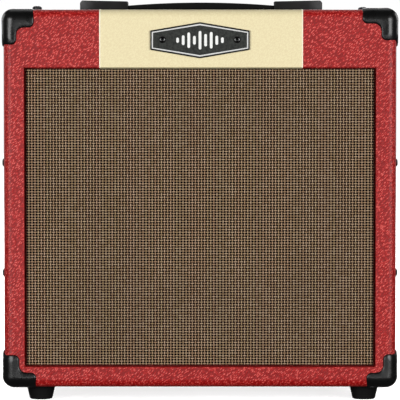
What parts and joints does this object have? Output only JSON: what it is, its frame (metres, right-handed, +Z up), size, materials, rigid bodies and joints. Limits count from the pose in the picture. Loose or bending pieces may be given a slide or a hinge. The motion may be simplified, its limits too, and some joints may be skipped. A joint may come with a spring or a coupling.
{
  "type": "guitar amplifier",
  "caption": "Compact open-back guitar combo amplifier: vinyl-covered box, cloth grille, speaker, top control panel, strap handle, rubber feet and corner protectors.",
  "frame": {"origin": "centre of the footprint, on the plane the feet stand on", "axes": "+Z up, the grille faces -Y, +X is the right-hand side seen from the front"},
  "size_m": [0.384, 0.214, 0.3894],
  "materials": {
    "wood": "bare plywood",
    "red_vinyl": "grained vinyl, satin",
    "cream_vinyl": "fine grained vinyl, satin",
    "black_plastic": "moulded, glossy",
    "black_rubber": "moulded, satin",
    "grille_fabric": "open weave",
    "black_board": "painted black",
    "steel": "zinc plated",
    "black_steel": "black powder coat",
    "ferrite": "sintered, matt",
    "cone_paper": "pressed pulp, matt",
    "spider_cloth": "resin stiffened",
    "coil_copper": "paper former with copper wire",
    "winding_tape": "polyester tape, satin",
    "panel_cream": "painted, satin",
    "knob_plastic": "moulded, glossy",
    "jewel_red": "clear red, polished",
    "circuit_green": "solder mask"
  },
  "bodies": {
    "cabinet": {"board_left": "wood", "board_right": "wood", "board_bottom": "wood", "board_top": "wood", "board_fascia": "wood", "vinyl_red": "red_vinyl", "vinyl_cream": "cream_vinyl", "corner_front_bottom_left": "black_plastic", "corner_front_bottom_right": "black_plastic", "corner_front_top_left": "black_plastic", "corner_front_top_right": "black_plastic", "corner_rear_bottom_left": "black_plastic", "corner_rear_bottom_right": "black_plastic", "corner_rear_top_left": "black_plastic", "corner_rear_top_right": "black_plastic", "foot_front_left": "black_rubber", "foot_front_right": "black_rubber", "foot_rear_left": "black_rubber", "foot_rear_right": "black_rubber", "handle_cap_left": "black_plastic", "handle_cap_right": "black_plastic", "handle_strap_end_left": "black_rubber", "handle_strap_end_right": "black_rubber", "badge_plate": "black_plastic", "grille_cloth": "grille_fabric", "baffle_board": "black_board", "speaker_basket": "black_steel", "speaker_top_plate": "steel", "speaker_magnet": "ferrite", "speaker_yoke": "steel", "cone_surround": "cone_paper", "cone_spider": "spider_cloth", "chassis": "black_steel", "control_panel": "panel_cream", "input_jack": "black_plastic", "phones_jack": "black_plastic", "aux_jack": "black_plastic", "power_switch_body": "black_plastic", "power_lamp": "jewel_red", "circuit_board": "circuit_green", "mains_inlet": "black_plastic", "transformer_core": "steel", "transformer_winding": "winding_tape", "speaker_lead": "black_rubber", "back_panel_upper": "black_board", "back_panel_lower": "black_board"},
    "handle": {"handle_strap": "black_rubber"},
    "cone": {"speaker_cone": "cone_paper", "speaker_dust_cap": "cone_paper", "voice_coil": "coil_copper"},
    "knob_clean_volume": {"knob_clean_volume": "knob_plastic"},
    "knob_gain": {"knob_gain": "knob_plastic"},
    "knob_drive_volume": {"knob_drive_volume": "knob_plastic"},
    "knob_bass": {"knob_bass": "knob_plastic"},
    "knob_middle": {"knob_middle": "knob_plastic"},
    "knob_treble": {"knob_treble": "knob_plastic"},
    "knob_reverb": {"knob_reverb": "knob_plastic"},
    "rocker": {"power_rocker": "black_plastic"},
    "button": {"channel_button": "knob_plastic"},
    "drawer": {"fuse_drawer": "black_plastic"}
  },
  "joints": [
    {"name": "handle_lift", "type": "slide", "parent": "cabinet", "child": "handle", "axis": [0, 0, 1], "range_m": [0, 0.018], "deforming": ["handle_strap_end_left", "handle_strap_end_right"]},
    {"name": "cone_travel", "type": "slide", "parent": "cabinet", "child": "cone", "axis": [0, 1, 0], "range_m": [-0.003, 0.003], "stiffness_N_per_m": 1500, "deforming": ["cone_surround", "cone_spider"]},
    {"name": "clean_volume_turn", "type": "hinge", "parent": "cabinet", "child": "knob_clean_volume", "pos_m": [-0.108, 0.058, 0.361], "axis": [0, 0, -1], "range_deg": [-150, 150]},
    {"name": "gain_turn", "type": "hinge", "parent": "cabinet", "child": "knob_gain", "pos_m": [-0.066, 0.058, 0.361], "axis": [0, 0, -1], "range_deg": [-150, 150]},
    {"name": "drive_volume_turn", "type": "hinge", "parent": "cabinet", "child": "knob_drive_volume", "pos_m": [-0.038, 0.058, 0.361], "axis": [0, 0, -1], "range_deg": [-150, 150]},
    {"name": "bass_turn", "type": "hinge", "parent": "cabinet", "child": "knob_bass", "pos_m": [-0.01, 0.058, 0.361], "axis": [0, 0, -1], "range_deg": [-150, 150]},
    {"name": "middle_turn", "type": "hinge", "parent": "cabinet", "child": "knob_middle", "pos_m": [0.018, 0.058, 0.361], "axis": [0, 0, -1], "range_deg": [-150, 150]},
    {"name": "treble_turn", "type": "hinge", "parent": "cabinet", "child": "knob_treble", "pos_m": [0.046, 0.058, 0.361], "axis": [0, 0, -1], "range_deg": [-150, 150]},
    {"name": "reverb_turn", "type": "hinge", "parent": "cabinet", "child": "knob_reverb", "pos_m": [0.074, 0.058, 0.361], "axis": [0, 0, -1], "range_deg": [-150, 150]},
    {"name": "power_rock", "type": "hinge", "parent": "cabinet", "child": "rocker", "pos_m": [0.1385, 0.058, 0.3632], "axis": [1, 0, 0], "range_deg": [0, 20]},
    {"name": "channel_press", "type": "slide", "parent": "cabinet", "child": "button", "axis": [0, 0, -1], "range_m": [0, 0.0025], "stiffness_N_per_m": 300},
    {"name": "fuse_drawer_slide", "type": "slide", "parent": "cabinet", "child": "drawer", "axis": [0, 1, 0], "range_m": [0, 0.018]}
  ]
}
